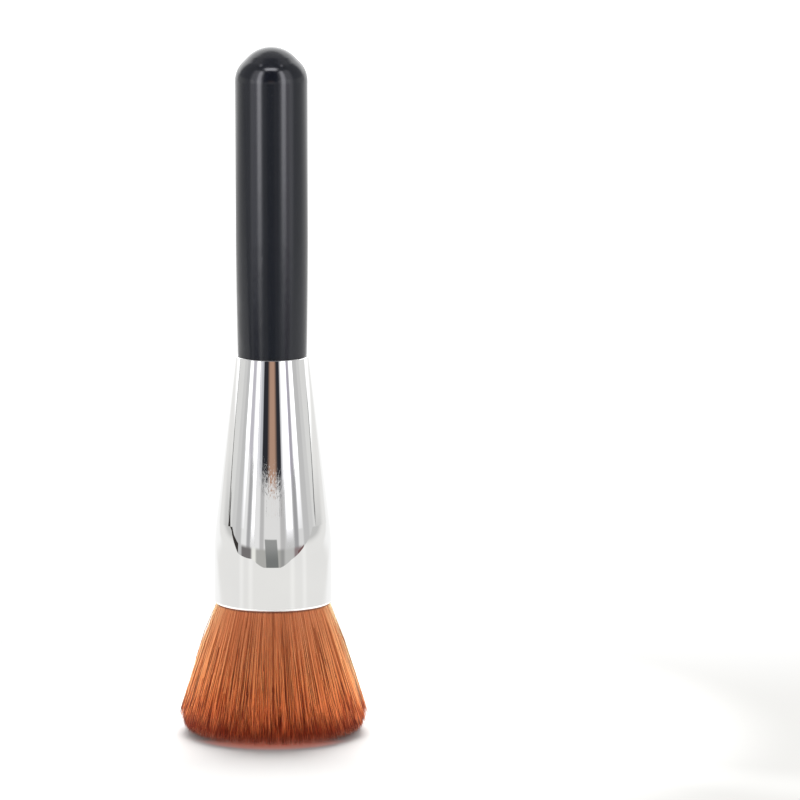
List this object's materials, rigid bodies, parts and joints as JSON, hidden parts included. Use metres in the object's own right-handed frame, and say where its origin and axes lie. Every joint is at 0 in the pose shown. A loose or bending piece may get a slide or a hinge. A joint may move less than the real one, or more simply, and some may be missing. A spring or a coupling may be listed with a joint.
{
  "type": "kabuki makeup brush",
  "caption": "Flat-topped kabuki makeup brush: dense flared synthetic hair in a bright conical ferrule on a straight lacquered handle with a domed end.",
  "frame": {"origin": "centre of the flat hair face that the brush stands on", "axes": "+Z along the brush's axis from the hair to the domed end of the handle; X and Y are alike, because every piece is turned about Z"},
  "size_m": [0.0426, 0.0426, 0.155],
  "materials": {
    "black_lacquer": "black lacquer, satin gloss",
    "cured_glue": "cured adhesive",
    "bright_ferrule": "bright mirror polish",
    "brown_filament": "soft synthetic filament, cinnamon with darker ends",
    "binding_thread": "waxed thread",
    "root_resin": "cured resin"
  },
  "bodies": {
    "root": {"handle": "black_lacquer", "handle_glue": "cured_glue", "ferrule": "bright_ferrule", "bristle_bundle": "brown_filament", "root_binding": "binding_thread", "root_resin": "root_resin"}
  },
  "joints": []
}
